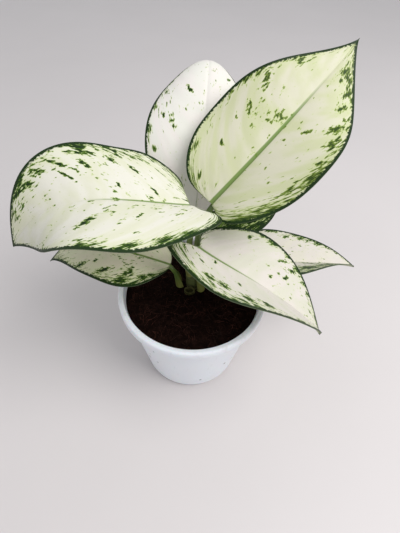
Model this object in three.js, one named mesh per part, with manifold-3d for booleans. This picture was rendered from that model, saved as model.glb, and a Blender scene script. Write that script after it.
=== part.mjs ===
// Potted chinese evergreen: a young plant of seven broad leaves in a thin plastic nursery pot.
// Millimetres, +Z up. The pot's axis is the Z axis and its base stands on Z = 0.
// +X is the plant's longest spread, and -Y is the side it is mostly looked at from.
import * as THREE from 'three';
import { mergeVertices } from 'three/addons/utils/BufferGeometryUtils.js';
import Module from 'manifold-3d';

const wasm = await Module();
wasm.setup();
const { Manifold, Mesh: ManifoldMesh } = wasm;

// Clearance kept between pieces that touch
const GAP = 0.35;

// Pot: thin injection-moulded wall, turned-over lip, drain holes round a flat base
const POT_HEIGHT = 92.5;
const POT_BASE_RADIUS = 41.5;
const POT_BASE_ROUND = 7;
const POT_MOUTH_RADIUS = 57;
const POT_WALL = 1.5;
const LIP_RADIUS = 60;
const LIP_DEPTH = 8;
const DRAIN_HOLES = 6;
const DRAIN_HOLE_RADIUS = 4;
const DRAIN_CIRCLE_RADIUS = 27;

// Soil: top surface slightly mounded round the plant
const SOIL_TOP = 87.8;
const SOIL_EDGE = 86;

// Stem: short cane with leaf scars, standing a little behind the pot's axis
const STEM_AT = new THREE.Vector2(0, 8);
const STEM_RADIUS = 5.6;
const STEM_BOTTOM = 56;
const STEM_TOP = 103.5;
const SCAR_HEIGHTS = [93, 98];
const ROOTS = 8;
const ROOT_LENGTH = 34;
const ROOT_RADIUS = 1.5;

// Leaves: blade thickness, and how often the margin waves along one blade
const BLADE_THICKNESS = 0.8;
const MARGIN_WAVES = 1.5;
const LOBE_POSITION = 0.05;
const BLADE_STATIONS = 15;
const BLADE_STEPS = 4;
const CUP_STEPS = 6;

// Each leaf gives:
//   foot     where its stalk leaves the stem
//   stout    half the width of the sheathing foot
//   bow      how far the middle of the stalk bows aside
//   spine    four control points of the blade's midrib, base to tip
//   half     width of the left and right half at the widest, seen from the stalk with the face up
//   lobe     how far each half reaches back behind the joint, as a share of the length
//   fold     angle at which each half rises from the midrib, [left, right], each [at base, at tip]
//   roll     turn of the whole blade about its midrib, [at base, at tip]
//   cup      how many degrees each half curves down again towards its margin
//   shape    exponents of the outline, towards the base and towards the tip
//   wave     height and phase of the margin's waves, [left, right]
const LEAVES = {
  leaf_upper_left: {
    foot: [-2.4, 4.4, 104], stout: 2.9, bow: [-6, 3, 0],
    spine: [[-3, 1, 177], [-39, -17, 191], [-86, -17, 206], [-120, -17, 149]],
    half: [44, 46], lobe: [0.1, 0.04], fold: [[13, 3], [13, 34]], roll: [-13, 24],
    cup: 11, shape: [0.35, 1.08], wave: [[-5.9, -44], [5, 38]],
  },
  leaf_upper_right: {
    foot: [4, 7.6, 104], stout: 2.9, bow: [0, 0, 0],
    spine: [[11, 11, 171], [38, 25, 200], [73, 57, 225], [104, 93, 250]],
    half: [48, 47], lobe: [0.03, 0.04], fold: [[32, 13], [15, -2]], roll: [10, -23],
    cup: 12, shape: [0.43, 1.38], wave: [[4.3, 66], [5.6, 195]],
  },
  leaf_back: {
    foot: [-1.7, 11.8, 104], stout: 2.9, bow: [4.5, 1.5, 0],
    spine: [[0, 29, 151], [4, 58, 199], [6, 102, 247], [4, 145, 209]],
    half: [43, 39], lobe: [0.03, 0.03], fold: [[13, -1], [5, -2]], roll: [-5, -1],
    cup: 36, shape: [0.34, 1.6], wave: [[3.3, -62], [3.8, -69]],
  },
  leaf_front_right: {
    foot: [6.7, 2.3, 89], stout: 3.4, bow: [0, 0, 0],
    spine: [[4, -7, 147], [26, -22, 141], [70, -35, 132], [97, -38, 92]],
    half: [40, 41], lobe: [0.07, 0.19], fold: [[17, 18], [11, 36]], roll: [-2, 18],
    cup: 2, shape: [0.59, 1.16], wave: [[1, 28], [-2.2, -26]],
  },
  leaf_low_right: {
    foot: [8.3, 10.8, 88.6], stout: 3.4, bow: [0, 0, 0],
    spine: [[28, 18, 110], [69, 25, 102], [112, 36, 94], [147, 45, 79]],
    half: [37, 37], lobe: [0.03, 0.03], fold: [[12, 30], [10, 41]], roll: [13, 14],
    cup: 4, shape: [0.36, 1.07], wave: [[1.2, -52], [-2.3, -42]],
  },
  leaf_low_left: {
    foot: [-9.6, 6.6, 89], stout: 4.4, bow: [-3, 2, -1],
    spine: [[-17, -3, 123], [-50, 1, 132], [-81, 5, 142], [-111, 3, 114]],
    half: [32, 33], lobe: [-0.02, 0], fold: [[15, 4], [13, 12]], roll: [-5, 9],
    cup: 22, shape: [0.37, 1.33], wave: [[-2.6, -41], [0.1, -2]],
  },
  leaf_back_right: {
    foot: [3.2, 16.4, 89], stout: 3.4, bow: [0, 0, 0],
    spine: [[14, 31, 120], [34, 56, 138], [53, 86, 144], [68, 118, 128]],
    half: [32, 32], lobe: [0.02, 0.02], fold: [[16, 8], [16, 8]], roll: [0, 0],
    cup: 20, shape: [0.35, 1.2], wave: [[2, 0], [2, 90]],
  },
};

// Stalk sections: a sheathing channel at the foot, a nearly round grooved stalk at the blade
const STALK_TOP_RADIUS = 2;
const RIB_END_RADIUS = 0.6;
const RIB_SHARE = 0.72;
const SHEATH_SHARE = 0.55;
const STALK_STATIONS = 8;
const RIB_STATIONS = 7;
const WING_ANGLE = 115;
const OUTER_POINTS = 7;
const GROOVE_POINTS = 3;

// Stub: an older leaf stalk cut off level, just in front of the stem
const STUB_FOOT = new THREE.Vector3(-2.2, -1.6, 89);
const STUB_HEIGHT = 4.5;
const STUB_RADIUS = 4.6;
const STUB_WALL = 1.5;

const rad = THREE.MathUtils.degToRad;
const lerp = THREE.MathUtils.lerp;
const vec = (p) => new THREE.Vector3(...p);

// Closed skin over a row of loops, with a point closing each end
function skin(loops, start, end) {
  const count = loops[0].length;
  const positions = [start, ...loops.flat(), end].flatMap((p) => [p.x, p.y, p.z]);
  const last = loops.length * count + 1;
  const index = [];
  for (let j = 0; j < count; j += 1) {
    const k = (j + 1) % count;
    index.push(0, 1 + k, 1 + j);
    index.push(last, last - count + j, last - count + k);
    for (let i = 0; i + 1 < loops.length; i += 1) {
      const a = 1 + i * count;
      const b = a + count;
      index.push(a + j, a + k, b + k, a + j, b + k, b + j);
    }
  }
  const geometry = new THREE.BufferGeometry();
  geometry.setAttribute('position', new THREE.Float32BufferAttribute(positions, 3));
  geometry.setIndex(index);
  return geometry;
}

function toSolid(source) {
  const bare = source.clone();
  bare.deleteAttribute('normal');
  bare.deleteAttribute('uv');
  const merged = mergeVertices(bare, 1e-4);
  const mesh = new ManifoldMesh({
    numProp: 3,
    vertProperties: new Float32Array(merged.attributes.position.array),
    triVerts: new Uint32Array(merged.index.array),
  });
  return new Manifold(mesh);
}

function toGeometry(solid) {
  const mesh = solid.getMesh();
  const geometry = new THREE.BufferGeometry();
  geometry.setAttribute('position', new THREE.Float32BufferAttribute(mesh.vertProperties, 3));
  geometry.setIndex([...mesh.triVerts]);
  geometry.computeVertexNormals();
  return geometry;
}

function meshOf(name, geometry, material) {
  const mesh = new THREE.Mesh(geometry, new THREE.MeshStandardMaterial(material));
  mesh.name = name;
  return mesh;
}

// Share of the full half-width at t along the blade, 1 at the widest
function outline(t, [toBase, toTip]) {
  const raw = (x) => x ** toBase * (1 - x * x) ** toTip;
  const widest = Math.sqrt(toBase / (toBase + 2 * toTip));
  return raw(t) / raw(widest);
}

// Point of a blade's middle surface: t from base to tip, s from -1 (left margin) to 1 (right)
function bladePoint(leaf, t, s) {
  const spine = new THREE.CubicBezierCurve3(...leaf.spine.map(vec));
  const along = spine.getTangent(t);
  const reach = spine.v3.clone().sub(spine.v0);
  const side = new THREE.Vector3(reach.y, -reach.x, 0).normalize();
  side.addScaledVector(along, -side.dot(along)).normalize();
  const up = new THREE.Vector3().crossVectors(side, along);
  const roll = rad(lerp(leaf.roll[0], leaf.roll[1], t));
  side.applyAxisAngle(along, -roll);
  up.applyAxisAngle(along, -roll);

  const half = s > 0 ? 1 : 0;
  const a = Math.abs(s);
  const share = outline(t, leaf.shape);
  const fold = rad(lerp(leaf.fold[half][0], leaf.fold[half][1], t));
  let out = 0;
  let rise = 0;
  for (let k = 0; k < CUP_STEPS; k += 1) {
    const angle = fold - rad(leaf.cup) * a * ((k + 0.5) / CUP_STEPS);
    out += (Math.cos(angle) * a) / CUP_STEPS;
    rise += (Math.sin(angle) * a) / CUP_STEPS;
  }
  const width = leaf.half[half] * share;
  const [height, phase] = leaf.wave[half];
  const wave = height * Math.sin(2 * Math.PI * MARGIN_WAVES * t + rad(phase)) * share * a * a;
  const [p0, p1, p2, p3] = [spine.v0, spine.v1, spine.v2, spine.v3];
  const length = p0.distanceTo(p1) + p1.distanceTo(p2) + p2.distanceTo(p3);
  const x = t / LOBE_POSITION;
  const back = -leaf.lobe[half] * length * x * Math.exp(1 - x) * a;
  return {
    point: spine.getPoint(t)
      .addScaledVector(along, back)
      .addScaledVector(side, Math.sign(s) * width * out)
      .addScaledVector(up, width * rise + wave),
    up,
  };
}

function bladeNormal(leaf, t, s) {
  const h = 0.004;
  const t0 = Math.max(t - h, 0.001);
  const alongStep = bladePoint(leaf, t + h, s).point.sub(bladePoint(leaf, t0, s).point);
  const [s0, s1] = [Math.max(s - 0.02, -1), Math.min(s + 0.02, 1)];
  const acrossStep = bladePoint(leaf, t, s1).point.sub(bladePoint(leaf, t, s0).point);
  return acrossStep.cross(alongStep).normalize();
}

// Blade: a thin plate that follows the middle surface
function blade(leaf) {
  const loops = [];
  for (let i = 0; i < BLADE_STATIONS; i += 1) {
    const u = i / (BLADE_STATIONS - 1);
    const t = lerp(0.004, 0.96, u ** 1.35);
    const top = [];
    const under = [];
    for (let j = -BLADE_STEPS; j <= BLADE_STEPS; j += 1) {
      const s = j / BLADE_STEPS;
      const { point } = bladePoint(leaf, t, s);
      const offset = bladeNormal(leaf, t, s).multiplyScalar(BLADE_THICKNESS / 2);
      top.push(point.clone().add(offset));
      under.push(point.clone().sub(offset));
    }
    loops.push([...top, ...under.reverse()]);
  }
  return skin(loops, vec(leaf.spine[0]), vec(leaf.spine[3]));
}

// Stalk section: outer arc with two wings, and a groove on the side that faces the stem
function stalkSection(radius, floor) {
  const points = [];
  for (let i = 0; i < OUTER_POINTS; i += 1) {
    const angle = rad(lerp(-WING_ANGLE, WING_ANGLE, i / (OUTER_POINTS - 1)));
    points.push([radius * Math.sin(angle), -radius * Math.cos(angle)]);
  }
  const [wingX, wingY] = points[OUTER_POINTS - 1];
  for (let i = 1; i <= GROOVE_POINTS; i += 1) {
    const x = lerp(1, -1, i / (GROOVE_POINTS + 1));
    points.push([wingX * x, lerp(radius * floor, wingY, x * x)]);
  }
  return points.reverse();
}

// Stalk and midrib in one sweep: from the foot up to the joint, then on under the blade
function stalk(leaf) {
  const foot = vec(leaf.foot);
  const joint = vec(leaf.spine[0]);
  const ahead = vec(leaf.spine[1]).sub(joint).normalize();
  const upward = new THREE.Vector3(0, 0, 1);
  const reach = foot.distanceTo(joint);
  const outward = new THREE.Vector3(foot.x - STEM_AT.x, foot.y - STEM_AT.y, 0).normalize();
  const arrival = ahead.clone().multiplyScalar(0.5).addScaledVector(upward, 0.6).normalize();
  const bow = vec(leaf.bow);
  const path = new THREE.CubicBezierCurve3(
    foot,
    foot.clone().addScaledVector(upward, 0.4 * reach).add(bow),
    joint.clone().addScaledVector(arrival, -0.35 * reach).add(bow),
    joint,
  );
  const inward = outward.clone().negate();
  const bladeUp = bladePoint(leaf, 0.05, 1).up;

  const stations = [];
  for (let i = 0; i < STALK_STATIONS; i += 1) {
    const u = (0.94 * i) / (STALK_STATIONS - 1);
    const sheath = Math.max(0, 1 - u / SHEATH_SHARE);
    stations.push({
      centre: path.getPoint(u),
      radius: lerp(STALK_TOP_RADIUS, leaf.stout, sheath),
      floor: lerp(0.3, -0.3, sheath),
      faceUp: inward.clone().lerp(bladeUp, u * u),
    });
  }
  for (let i = 0; i < RIB_STATIONS; i += 1) {
    const t = lerp(0.045, RIB_SHARE, i / (RIB_STATIONS - 1));
    const radius = lerp(STALK_TOP_RADIUS, RIB_END_RADIUS, i / (RIB_STATIONS - 1));
    const { point, up } = bladePoint(leaf, t, 0);
    const centre = point.addScaledVector(up, -0.42 * radius - 0.1);
    stations.push({ centre, radius, floor: 0.5, faceUp: up });
  }

  const loops = stations.map((station, i) => {
    const before = stations[Math.max(i - 1, 0)].centre;
    const after = stations[Math.min(i + 1, stations.length - 1)].centre;
    const along = after.clone().sub(before).normalize();
    const face = station.faceUp.clone();
    face.addScaledVector(along, -face.dot(along)).normalize();
    const side = new THREE.Vector3().crossVectors(along, face);
    return stalkSection(station.radius, station.floor).map(([x, y]) =>
      station.centre.clone().addScaledVector(side, x).addScaledVector(face, y));
  });
  return skin(loops, stations[0].centre, stations[stations.length - 1].centre);
}

// Round bar through a few points, used for the roots
function bar(points, radii, sides) {
  const loops = points.map((centre, i) => {
    const before = points[Math.max(i - 1, 0)];
    const after = points[Math.min(i + 1, points.length - 1)];
    const along = after.clone().sub(before).normalize();
    const side = new THREE.Vector3(-along.y, along.x, 0).normalize();
    const face = new THREE.Vector3().crossVectors(side, along);
    return Array.from({ length: sides }, (_, k) => {
      const angle = (-2 * Math.PI * k) / sides;
      return centre.clone()
        .addScaledVector(side, radii[i] * Math.cos(angle))
        .addScaledVector(face, radii[i] * Math.sin(angle));
    });
  });
  return skin(loops, points[0], points[points.length - 1]);
}

function turned(profile, segments) {
  const points = profile.map(([r, z]) => new THREE.Vector2(r, z));
  return new THREE.LatheGeometry(points, segments).rotateX(Math.PI / 2);
}

// Cane and roots in one piece; grow makes the larger shape that the soil leaves room for
function caneAndRoots(grow) {
  const r = STEM_RADIUS + grow;
  const scars = SCAR_HEIGHTS.flatMap((z) => [[r, z - 1], [r + 0.5, z], [r, z + 1]]);
  const profile = [
    [0, STEM_BOTTOM - grow],
    [r * 0.6, STEM_BOTTOM - grow],
    [r, STEM_BOTTOM + 6],
    ...scars,
    [r, STEM_TOP - 2],
    [r * 0.75, STEM_TOP + grow],
    [0, STEM_TOP + grow],
  ];
  let whole = toSolid(turned(profile, 16)).translate([STEM_AT.x, STEM_AT.y, 0]);
  for (let i = 0; i < ROOTS; i += 1) {
    const angle = (2 * Math.PI * (i + 0.3)) / ROOTS;
    const dip = i % 2 ? 1 : 0.55;
    const start = STEM_BOTTOM + 4 + (i % 3) * 4;
    const points = [0.06, 0.3, 0.62, 1].map((share) => new THREE.Vector3(
      STEM_AT.x + Math.cos(angle + 0.5 * share) * ROOT_LENGTH * share,
      STEM_AT.y * (1 - share) + Math.sin(angle + 0.5 * share) * ROOT_LENGTH * share,
      start - 38 * dip * share ** 1.4,
    ));
    const radii = [1, 0.9, 0.75, 0.5].map((share) => ROOT_RADIUS * share + grow);
    whole = whole.add(toSolid(bar(points, radii, 6)));
  }
  return whole;
}

function potProfile() {
  const slope = (POT_MOUTH_RADIUS - POT_BASE_RADIUS) / POT_HEIGHT;
  const outer = (z) => POT_BASE_RADIUS + slope * z;
  const round = [];
  for (let i = 0; i <= 4; i += 1) {
    const angle = (Math.PI / 2) * (i / 4);
    const z = POT_BASE_ROUND * (1 - Math.cos(angle));
    round.push([outer(z) - POT_BASE_ROUND * (1 - Math.sin(angle)), z]);
  }
  const skirtZ = POT_HEIGHT - LIP_DEPTH;
  const inner = (z) => outer(z) - POT_WALL;
  return [
    [0, 0],
    ...round,
    [outer(POT_HEIGHT - 2.4), POT_HEIGHT - 2.4],
    [LIP_RADIUS - POT_WALL, POT_HEIGHT - 2.4],
    [LIP_RADIUS - POT_WALL, skirtZ],
    [LIP_RADIUS - 0.4, skirtZ],
    [LIP_RADIUS, skirtZ + 3],
    [LIP_RADIUS - 0.3, POT_HEIGHT - 1.2],
    [LIP_RADIUS - 1.6, POT_HEIGHT],
    [inner(POT_HEIGHT) + 1, POT_HEIGHT],
    [inner(POT_HEIGHT), POT_HEIGHT - 1],
    [inner(POT_BASE_ROUND + 1), POT_BASE_ROUND + 1],
    [inner(3.5) - 1.6, 3.4],
    [inner(POT_WALL) - 5, POT_WALL],
    [0, POT_WALL],
  ];
}

function pot() {
  let solid = toSolid(turned(potProfile(), 48));
  for (let i = 0; i < DRAIN_HOLES; i += 1) {
    const angle = (2 * Math.PI * i) / DRAIN_HOLES;
    const hole = new THREE.CylinderGeometry(DRAIN_HOLE_RADIUS, DRAIN_HOLE_RADIUS, 6, 14);
    hole.rotateX(Math.PI / 2);
    hole.translate(
      DRAIN_CIRCLE_RADIUS * Math.cos(angle),
      DRAIN_CIRCLE_RADIUS * Math.sin(angle),
      POT_WALL / 2,
    );
    solid = solid.subtract(toSolid(hole));
  }
  return toGeometry(solid);
}

// Soil: fills the pot, with room left round the cane and its roots
function soil() {
  const slope = (POT_MOUTH_RADIUS - POT_BASE_RADIUS) / POT_HEIGHT;
  const inner = (z) => POT_BASE_RADIUS + slope * z - POT_WALL - GAP;
  const floor = POT_WALL + GAP;
  const profile = [
    [0, floor],
    [inner(POT_WALL) - 5.2, floor],
    [inner(3.5) - 1.8, 3.9],
    [inner(POT_BASE_ROUND + 1) - 0.1, POT_BASE_ROUND + 1.3],
    [inner(SOIL_EDGE), SOIL_EDGE],
    [40, lerp(SOIL_TOP, SOIL_EDGE, 0.3)],
    [20, SOIL_TOP],
    [0, SOIL_TOP],
  ];
  return toGeometry(toSolid(turned(profile, 48)).subtract(caneAndRoots(GAP)));
}

// Cut stalk: a short ring-shaped stub with a drawn-in middle
function cutStalk() {
  const r = STUB_RADIUS;
  const profile = [
    [0, 0],
    [r - 0.6, 0],
    [r, STUB_HEIGHT * 0.5],
    [r - 0.3, STUB_HEIGHT],
    [r - STUB_WALL, STUB_HEIGHT - 0.2],
    [r - STUB_WALL - 0.6, STUB_HEIGHT - 1.4],
    [0, STUB_HEIGHT - 1.8],
  ];
  const stub = turned(profile, 18);
  stub.scale(1, 0.75, 1);
  stub.rotateX(rad(10));
  return stub.translate(STUB_FOOT.x, STUB_FOOT.y, STUB_FOOT.z);
}

const plant = new THREE.Group();
plant.name = 'potted_chinese_evergreen';
plant.add(meshOf('pot', pot(), { color: 0xe6e9f0, roughness: 0.35, metalness: 0 }));
plant.add(meshOf('soil', soil(), { color: 0x24170f, roughness: 1, metalness: 0 }));
plant.add(meshOf('stem_and_roots', toGeometry(caneAndRoots(0)),
  { color: 0x7d8f4a, roughness: 0.7, metalness: 0 }));
plant.add(meshOf('cut_leaf_stalk', toGeometry(toSolid(cutStalk())),
  { color: 0x77704a, roughness: 0.8, metalness: 0 }));
for (const [name, leaf] of Object.entries(LEAVES)) {
  const whole = toSolid(blade(leaf)).add(toSolid(stalk(leaf)));
  plant.add(meshOf(name, toGeometry(whole), { color: 0xdfe3c8, roughness: 0.45, metalness: 0 }));
}

export default plant;
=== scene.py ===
import math
import random

import bpy
from mathutils import Matrix, Vector, noise


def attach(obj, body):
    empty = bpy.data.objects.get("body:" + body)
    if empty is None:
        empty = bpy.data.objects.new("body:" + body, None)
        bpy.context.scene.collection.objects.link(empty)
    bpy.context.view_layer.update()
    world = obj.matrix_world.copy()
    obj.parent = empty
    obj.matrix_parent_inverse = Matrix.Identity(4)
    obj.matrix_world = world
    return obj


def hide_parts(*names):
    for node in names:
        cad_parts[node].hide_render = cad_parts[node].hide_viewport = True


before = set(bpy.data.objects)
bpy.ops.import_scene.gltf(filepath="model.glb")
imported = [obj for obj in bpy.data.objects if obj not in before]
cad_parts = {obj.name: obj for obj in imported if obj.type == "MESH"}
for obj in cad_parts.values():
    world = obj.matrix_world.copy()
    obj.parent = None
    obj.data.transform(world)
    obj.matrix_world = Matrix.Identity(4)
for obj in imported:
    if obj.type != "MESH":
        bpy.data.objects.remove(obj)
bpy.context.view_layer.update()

# ---------------------------------------------------------------------------
# Floor, light and camera
# A plain pale floor under a large soft ceiling light that leans to the right,
# with a bright room all round. The viewer stands close and looks steeply down.

FLOOR_SIZE = 8.0
FLOOR_COLOUR = (0.67, 0.625, 0.615, 1)
FLOOR_PATCH_COLOUR = (0.6231, 0.58125, 0.57195, 1)
ROOM_COLOUR = (0.93, 0.96, 1.0, 1)
ROOM_STRENGTH = 0.66
CEILING_PLACE = Vector((0.65, -0.25, 1.1))
CEILING_SIZE = 0.8
CEILING_AIM = Vector((0, 0, 0.1))
CEILING_POWER = 12.0
CAMERA_PLACE = Vector((0.0053, -0.1876, 0.3284))
CAMERA_DOWN = math.radians(48.1)
CAMERA_ROLL = math.radians(2.73)
CAMERA_LENS = 25.0
CAMERA_FILM = 36.0

bpy.ops.object.select_all(action="DESELECT")
bpy.context.scene.view_settings.view_transform = "Standard"


class Look:
    """A new material and the shader nodes it is made of."""

    def __init__(self, name):
        self.material = bpy.data.materials.new(name)
        self.material.use_nodes = True
        self.tree = self.material.node_tree
        self.shader = self.tree.nodes["Principled BSDF"]

    def plug(self, value, socket):
        """Links a Value to a socket, or sets the socket to a plain number or colour."""
        if isinstance(value, Value):
            self.tree.links.new(value.socket, socket)
        else:
            socket.default_value = value

    def node(self, kind, settings=None, sockets=None, out=0):
        """Adds a node, with its settings set first and then its sockets."""
        made = self.tree.nodes.new(kind)
        for name, setting in (settings or {}).items():
            setattr(made, name, setting)
        for name, value in (sockets or {}).items():
            self.plug(value, made.inputs[name])
        return Value(self, made.outputs[out])

    def attribute(self, name):
        """A number that is stored on the mesh's points."""
        return self.node("ShaderNodeAttribute", {"attribute_name": name}, out="Fac")

    def place(self):
        """The place on the object, in metres."""
        return self.node("ShaderNodeTexCoord", out="Object")

    def noise(self, vector, scale, detail=2.0, roughness=0.5):
        return self.node(
            "ShaderNodeTexNoise",
            {"noise_dimensions": "3D"},
            {"Vector": vector, "Scale": scale, "Detail": detail, "Roughness": roughness},
            out="Fac",
        )

    def vector(self, x, y, z):
        return self.node("ShaderNodeCombineXYZ", None, {0: x, 1: y, 2: z})

    def mix(self, factor, a, b):
        """Colour a where factor is 0, and colour b where it is 1."""
        return self.node(
            "ShaderNodeMix", {"data_type": "RGBA"}, {0: factor, 6: a, 7: b}, out=2
        )

    def bump(self, height, distance, strength=1.0):
        return self.node(
            "ShaderNodeBump",
            None,
            {"Height": height, "Distance": distance, "Strength": strength},
        )

    def finish(self, **sockets):
        """Fills the shader's own sockets and gives the finished material."""
        for name, value in sockets.items():
            title = name.replace("_", " ").title().replace("Ior", "IOR")
            self.plug(value, self.shader.inputs[title])
        return self.material


class Value:
    """One output socket, so that shader maths reads as plain sums."""

    def __init__(self, look, socket):
        self.look = look
        self.socket = socket

    def maths(self, operation, *others):
        return self.look.node(
            "ShaderNodeMath", {"operation": operation}, dict(enumerate((self, *others)))
        )

    def __add__(self, other):
        return self.maths("ADD", other)

    __radd__ = __add__

    def __mul__(self, other):
        return self.maths("MULTIPLY", other)

    __rmul__ = __mul__

    def __sub__(self, other):
        return self.maths("SUBTRACT", other)

    def __rsub__(self, other):
        return (self * -1.0) + other

    def __truediv__(self, other):
        return self.maths("DIVIDE", other)

    def above(self, low, high):
        """0 below low, 1 above high, and a smooth step between them."""
        return self.look.node(
            "ShaderNodeMapRange",
            {"interpolation_type": "SMOOTHSTEP"},
            {"Value": self, 1: low, 2: high, 3: 0.0, 4: 1.0},
        )

    def below(self, low, high):
        return 1.0 - self.above(low, high)


bpy.ops.mesh.primitive_plane_add(size=FLOOR_SIZE, location=(0, 0, 0))
floor = bpy.context.object
floor.name = "floor"
floor_look = Look("pale floor")
floor_patches = floor_look.noise(floor_look.place(), 5.0, 3.0)
floor_shade = floor_look.mix(floor_patches, FLOOR_COLOUR, FLOOR_PATCH_COLOUR)
floor.data.materials.append(floor_look.finish(base_color=floor_shade, roughness=0.55))

world = bpy.data.worlds.new("room")
world.use_nodes = True
room = world.node_tree.nodes["Background"]
room.inputs["Color"].default_value = ROOM_COLOUR
room.inputs["Strength"].default_value = ROOM_STRENGTH
bpy.context.scene.world = world

bpy.ops.object.light_add(type="AREA", location=CEILING_PLACE)
ceiling = bpy.context.object
ceiling.data.size = CEILING_SIZE
ceiling.data.energy = CEILING_POWER
ceiling_beam = CEILING_AIM - CEILING_PLACE
ceiling.rotation_euler = ceiling_beam.to_track_quat("-Z", "Y").to_euler()

bpy.ops.object.camera_add(location=CAMERA_PLACE)
camera = bpy.context.object
camera.data.lens = CAMERA_LENS
camera.data.sensor_width = CAMERA_FILM
ahead = Vector((0, math.cos(CAMERA_DOWN), -math.sin(CAMERA_DOWN)))
level = Vector((1, 0, 0))
lifted = level.cross(ahead)
right = math.cos(CAMERA_ROLL) * level + math.sin(CAMERA_ROLL) * lifted
upright = math.cos(CAMERA_ROLL) * lifted - math.sin(CAMERA_ROLL) * level
camera.matrix_world = Matrix.Translation(CAMERA_PLACE) @ Matrix(
    (right, upright, -ahead)
).transposed().to_4x4()
bpy.context.scene.camera = camera

# ---------------------------------------------------------------------------
# Pot
# A thin tapered nursery pot moulded in white plastic, with a turned-over lip
# that hangs free of the wall, a rounded foot, and drain holes in its flat base.

# Lengths from here on are in millimetres, and MM turns them into metres.
MM = 0.001
POT_HEIGHT = 92.5
POT_FOOT_RADIUS = 41.5
POT_MOUTH_RADIUS = 57.0
POT_WALL = 1.5
POT_FOOT_ROUND = 7.0
LIP_RADIUS = 60.0
LIP_DEPTH = 8.0
LIP_GAP_TOP = POT_HEIGHT - 2.4
DRAIN_HOLES = 6
DRAIN_RADIUS = 4.0
DRAIN_CIRCLE = 27.0
DRILL_DEPTH = 8.0
POT_SIDES = 160
POT_WHITE = (0.87, 0.89, 0.93, 1)
POT_CLOUD = (0.82, 0.845, 0.90, 1)
SCUFF_GREY = (0.52, 0.53, 0.55, 1)
FILM_BROWN = (0.36, 0.31, 0.27, 1)
GRIT_BROWN = (0.05, 0.035, 0.028, 1)
FILM_STARTS = 74.0
FILM_FULL = 94.0


def pot_wall(height):
    """Radius of the pot's outer wall at a height above its base."""
    return POT_FOOT_RADIUS + (POT_MOUTH_RADIUS - POT_FOOT_RADIUS) * height / POT_HEIGHT


def pick(piece):
    """Makes a piece the only one selected, and the active one."""
    bpy.ops.object.select_all(action="DESELECT")
    bpy.context.view_layer.objects.active = piece
    piece.select_set(True)


def edit(piece):
    """Opens a piece in edit mode with all of it selected."""
    pick(piece)
    bpy.ops.object.mode_set(mode="EDIT")
    bpy.ops.mesh.select_all(action="SELECT")


def close_up(piece, merge=0.01 * MM, caps=False):
    """Merges doubled points, closes open ends if caps is set, and turns faces outwards."""
    edit(piece)
    bpy.ops.mesh.remove_doubles(threshold=merge)
    if caps:
        bpy.ops.mesh.select_all(action="DESELECT")
        bpy.ops.mesh.select_non_manifold()
        bpy.ops.mesh.edge_face_add()
        bpy.ops.mesh.select_all(action="SELECT")
    bpy.ops.mesh.normals_make_consistent(inside=False)
    bpy.ops.object.mode_set(mode="OBJECT")


def smooth(piece, angle):
    """Shades a piece smooth, save at edges sharper than an angle in degrees."""
    pick(piece)
    bpy.ops.object.shade_smooth_by_angle(angle=math.radians(angle))


def dress(piece, material):
    """Gives a piece this one material."""
    piece.data.materials.clear()
    piece.data.materials.append(material)


def turned(name, profile, sides):
    """A ring drawn out and resized along a profile of (radius, height) in mm.

    The two ends of the profile are closed.
    """
    (first_radius, first_height), *rest = profile
    bpy.ops.object.select_all(action="DESELECT")
    bpy.ops.mesh.primitive_circle_add(
        vertices=sides, radius=first_radius * MM, location=(0, 0, 0)
    )
    piece = bpy.context.object
    piece.name = name
    edit(piece)
    bpy.ops.transform.translate(value=(0, 0, first_height * MM))
    radius, height = first_radius, first_height
    for next_radius, next_height in rest:
        lift = (0, 0, (next_height - height) * MM)
        bpy.ops.mesh.extrude_edges_move(TRANSFORM_OT_translate={"value": lift})
        scale = next_radius / radius
        bpy.ops.transform.resize(
            value=(scale, scale, 1), center_override=(0, 0, next_height * MM)
        )
        radius, height = next_radius, next_height
    bpy.ops.object.mode_set(mode="OBJECT")
    close_up(piece, caps=True)
    return piece


def arc(centre, radius, start, end, steps):
    """Points of an arc in a profile, from one angle to another in degrees."""
    x, y = centre
    angles = [math.radians(start + (end - start) * i / steps) for i in range(steps + 1)]
    return [(x + radius * math.cos(a), y + radius * math.sin(a)) for a in angles]


foot_centre = (pot_wall(POT_FOOT_ROUND) - POT_FOOT_ROUND, POT_FOOT_ROUND)
lip_bottom = POT_HEIGHT - LIP_DEPTH
inner_mouth = pot_wall(POT_HEIGHT) - POT_WALL
pot_profile = [
    (8.0, 0.0),
    (30.0, 0.0),
    *arc(foot_centre, POT_FOOT_ROUND, -88, -4, 9),
    *[(pot_wall(z), z) for z in (12, 20, 30, 40, 50, 60, 70, 78, 84, LIP_GAP_TOP - 1)],
    (pot_wall(LIP_GAP_TOP) + 0.5, LIP_GAP_TOP - 0.15),
    (LIP_RADIUS - 2.1, LIP_GAP_TOP),
    (LIP_RADIUS - POT_WALL, LIP_GAP_TOP - 0.7),
    (LIP_RADIUS - POT_WALL, lip_bottom + 0.4),
    *arc((LIP_RADIUS - 0.85, lip_bottom + 0.6), 0.6, 200, 350, 5),
    (LIP_RADIUS - 0.06, lip_bottom + 3.0),
    (LIP_RADIUS - 0.02, POT_HEIGHT - 3.0),
    *arc((LIP_RADIUS - 2.0, POT_HEIGHT - 2.0), 2.0, 5, 88, 6),
    (LIP_RADIUS - 3.0, POT_HEIGHT - 0.02),
    *arc((inner_mouth + 0.9, POT_HEIGHT - 0.92), 0.9, 95, 178, 5),
    *[(pot_wall(z) - POT_WALL, z) for z in (86, 76, 60, 40, 20, 9)],
    (pot_wall(4) - 3.4, 3.6),
    (pot_wall(2) - 6.0, POT_WALL),
    (8.0, POT_WALL),
]
pot = turned("nursery_pot", pot_profile, POT_SIDES)
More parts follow.
